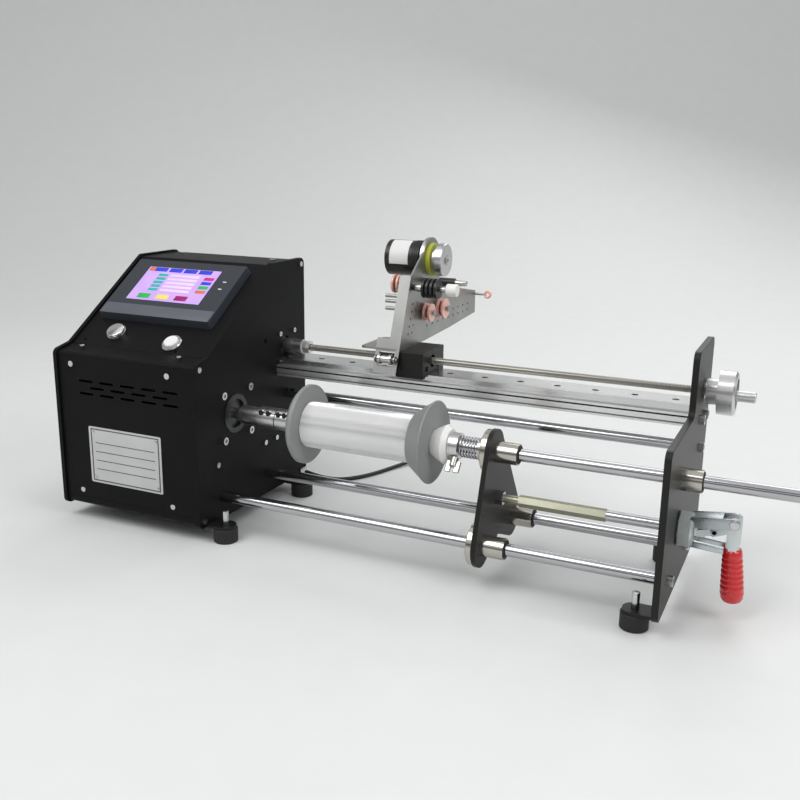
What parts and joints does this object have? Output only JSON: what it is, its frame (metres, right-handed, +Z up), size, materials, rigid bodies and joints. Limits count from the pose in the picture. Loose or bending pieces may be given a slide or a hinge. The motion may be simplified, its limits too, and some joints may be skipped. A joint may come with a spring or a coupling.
{
  "type": "wire coil winding machine",
  "caption": "Benchtop wire coil winder: cabinet with touchscreen, driven spool spindle, leadscrew traverse with wire guide and encoder, sprung tail centre on a rod frame with a toggle clamp",
  "frame": {"origin": "x = 0 and y = 0 in the middle of the machine's outline seen from above, z = 0 on the floor under the rubber feet; the free mains cord doesn't count", "axes": "+X from the cabinet along the spindle to the end plate, +Y to the back, +Z up"},
  "size_m": [0.79, 0.4346, 0.3145],
  "materials": {
    "black_coat": "fine-textured black powder coat",
    "black_panel": "black anodised",
    "bright_steel": "polished",
    "steel": "brushed",
    "machined_alu": "satin machined",
    "black_steel": "black oxide",
    "black_plastic": "fine matte",
    "grey_plastic": "matte",
    "white_plastic": "smooth",
    "pink_ceramic": "glazed",
    "screen": "gloss",
    "black_rubber": "matte",
    "red_rubber": "soft gloss",
    "felt": "felt",
    "brass": "turned"
  },
  "bodies": {
    "frame": {"left_side_plate": "black_coat", "right_side_plate": "black_coat", "front_cover": "black_coat", "console_panel": "black_coat", "rear_cover": "black_coat", "base_pan": "black_coat", "nameplate": "machined_alu", "touchscreen_housing": "grey_plastic", "touchscreen_glass": "screen", "panel_socket": "machined_alu", "button_ring": "machined_alu", "spindle_motor": "black_steel", "traverse_motor": "black_steel", "power_unit": "steel", "end_bearings": "steel", "beam_extrusion": "machined_alu", "guide_rail": "steel", "cross_rods": "bright_steel", "end_plate": "black_panel", "toggle_base": "steel", "foot_brackets": "black_panel", "rubber_feet": "black_rubber", "frame_screws": "steel", "cable_gland": "black_plastic", "power_cord": "black_rubber", "cord_coil": "black_rubber", "power_plug": "black_rubber"},
    "button": {"push_button": "white_plastic"},
    "spindle": {"spindle_shaft": "bright_steel", "clamp_coupling": "machined_alu", "spool_core": "white_plastic", "spool_flanges": "steel"},
    "screw": {"lead_screw": "steel", "screw_coupling": "machined_alu", "handwheel": "machined_alu"},
    "crank": {"crank_knob": "machined_alu"},
    "carriage": {"carriage_block": "black_panel", "guide_bracket": "steel", "encoder_body": "black_plastic", "felt_disc": "felt", "eyelet": "pink_ceramic"},
    "measure": {"measuring_wheel": "machined_alu"},
    "tension": {"tension_shaft": "black_plastic"},
    "knurl": {"knurled_knob": "black_steel"},
    "wheel_upper": {"guide_wheel_upper": "pink_ceramic"},
    "wheel_rear": {"guide_wheel_rear": "pink_ceramic"},
    "wheel_left": {"guide_wheel_left": "pink_ceramic"},
    "roller": {"entry_roller": "pink_ceramic"},
    "tailstock": {"tailstock_plate": "black_panel", "linear_bushings": "steel", "push_rod": "steel", "hex_standoff": "brass", "tail_shaft": "bright_steel", "tail_collar": "machined_alu", "tail_spring": "steel"},
    "cone": {"tail_cone": "white_plastic"},
    "wing": {"wing_screw": "steel"},
    "handle": {"toggle_handle": "steel", "red_grip": "red_rubber"},
    "links": {"toggle_links": "steel"}
  },
  "joints": [
    {"name": "button_press", "type": "slide", "parent": "frame", "child": "button", "axis": [0, 0.5577, -0.83], "range_m": [0, 0.002], "stiffness_N_per_m": 400, "springref_m": -0.001},
    {"name": "spindle_spin", "type": "hinge", "parent": "frame", "child": "spindle", "pos_m": [-0.205, -0.117, 0.128], "axis": [1, 0, 0], "continuous": true},
    {"name": "carriage_slide", "type": "slide", "parent": "frame", "child": "carriage", "axis": [1, 0, 0], "range_m": [-0.09, 0.24]},
    {"name": "screw_spin", "type": "hinge", "parent": "frame", "child": "screw", "pos_m": [-0.185, -0.012, 0.186], "axis": [1, 0, 0], "range_deg": [-4051, 10801]},
    {"name": "crank_spin", "type": "hinge", "parent": "screw", "child": "crank", "pos_m": [0.3, -0.02, 0.186], "axis": [1, 0, 0], "continuous": true},
    {"name": "measure_spin", "type": "hinge", "parent": "carriage", "child": "measure", "pos_m": [-0.03, 0.043, 0.29], "axis": [1, 0, 0], "continuous": true},
    {"name": "tension_spin", "type": "hinge", "parent": "carriage", "child": "tension", "pos_m": [-0.03, -0.007, 0.264], "axis": [1, 0, 0], "continuous": true},
    {"name": "knurl_turn", "type": "hinge", "parent": "carriage", "child": "knurl", "pos_m": [-0.03, 0.023, 0.268], "axis": [1, 0, 0], "range_deg": [-360, 360]},
    {"name": "upper_wheel_spin", "type": "hinge", "parent": "carriage", "child": "wheel_upper", "pos_m": [-0.037, 0.022, 0.233], "axis": [1, 0, 0], "continuous": true},
    {"name": "rear_wheel_spin", "type": "hinge", "parent": "carriage", "child": "wheel_rear", "pos_m": [-0.037, 0.063, 0.232], "axis": [1, 0, 0], "continuous": true},
    {"name": "left_wheel_spin", "type": "hinge", "parent": "carriage", "child": "wheel_left", "pos_m": [-0.072, 0.013, 0.264], "axis": [1, 0, 0], "continuous": true},
    {"name": "roller_spin", "type": "hinge", "parent": "carriage", "child": "roller", "pos_m": [-0.058, -0.0465, 0.19], "axis": [1, 0, 0], "continuous": true},
    {"name": "tailstock_slide", "type": "slide", "parent": "frame", "child": "tailstock", "axis": [1, 0, 0], "range_m": [0, 0.03]},
    {"name": "cone_spin", "type": "hinge", "parent": "tailstock", "child": "cone", "pos_m": [0.04, -0.117, 0.128], "axis": [1, 0, 0], "continuous": true},
    {"name": "wing_turn", "type": "hinge", "parent": "tailstock", "child": "wing", "pos_m": [0.0565, -0.12986, 0.11268], "axis": [0, -0.6428, -0.766], "range_deg": [-180, 180]},
    {"name": "handle_swing", "type": "hinge", "parent": "frame", "child": "handle", "pos_m": [0.319, -0.113, 0.0946], "axis": [0, -1, 0], "range_deg": [0, 100.5]},
    {"name": "link_pivot", "type": "hinge", "parent": "handle", "child": "links", "pos_m": [0.30262, -0.113, 0.08313], "axis": [0, 1, 0], "range_deg": [0, 112.5]}
  ],
  "couplings": [
    {"joint": "screw_spin", "follows": "carriage_slide", "rad_per_m": 785.4},
    {"joint": "handle_swing", "follows": "tailstock_slide", "rad_per_m": 58.178},
    {"joint": "link_pivot", "follows": "tailstock_slide", "rad_per_m": 64.926},
    {"joint": "cone_spin", "follows": "spindle_spin", "ratio": 1}
  ]
}
